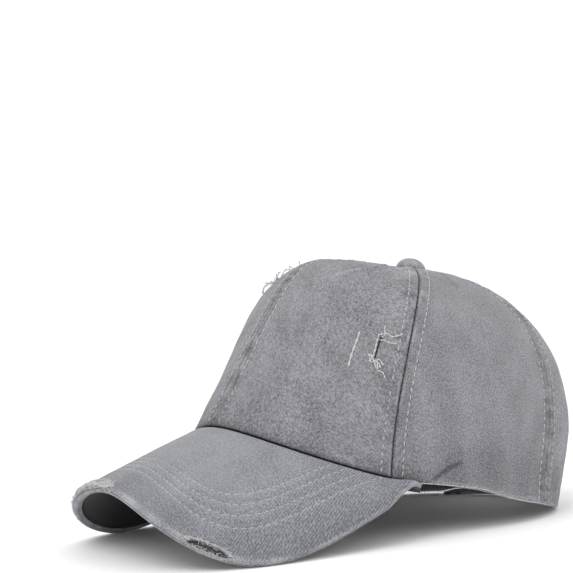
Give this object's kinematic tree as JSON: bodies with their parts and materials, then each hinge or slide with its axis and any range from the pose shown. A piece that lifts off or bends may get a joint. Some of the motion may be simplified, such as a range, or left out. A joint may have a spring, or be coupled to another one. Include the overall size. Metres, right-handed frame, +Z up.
{
  "type": "ponytail baseball cap",
  "caption": "Washed grey cotton baseball cap with a curved brim and an open back crossed by cloth straps for a high ponytail.",
  "frame": {"origin": "on the surface the cap rests on, under the middle of its bounding box", "axes": "+Z up, -Y to the front where the brim points, +X to the wearer's left"},
  "size_m": [0.1696, 0.2606, 0.1385],
  "materials": {
    "washed_cotton": "garment washed cotton twill, mid grey, paler along seams and frayed edges",
    "brim_cotton": "the same washed twill drawn flat over the brim, a little paler",
    "dark_cotton": "near-black cotton twill and tape, matt",
    "brim_board": "stiff grey interlining board, seen only where the brim's edge is torn"
  },
  "bodies": {
    "root": {"panel_front_left": "washed_cotton", "panel_front_right": "washed_cotton", "panel_side_left": "washed_cotton", "panel_side_right": "washed_cotton", "panel_back_left": "washed_cotton", "panel_back_right": "washed_cotton", "button": "washed_cotton", "brim_top": "brim_cotton", "brim_board": "brim_board", "brim_under": "dark_cotton", "sweatband": "dark_cotton", "tape_front": "dark_cotton", "tape_front_left": "dark_cotton", "tape_front_right": "dark_cotton", "tape_back_left": "dark_cotton", "tape_back_right": "dark_cotton", "strap_upper": "washed_cotton", "strap_middle": "washed_cotton", "strap_lower": "washed_cotton", "closure_strap": "washed_cotton", "closure_tab": "washed_cotton"}
  },
  "joints": []
}
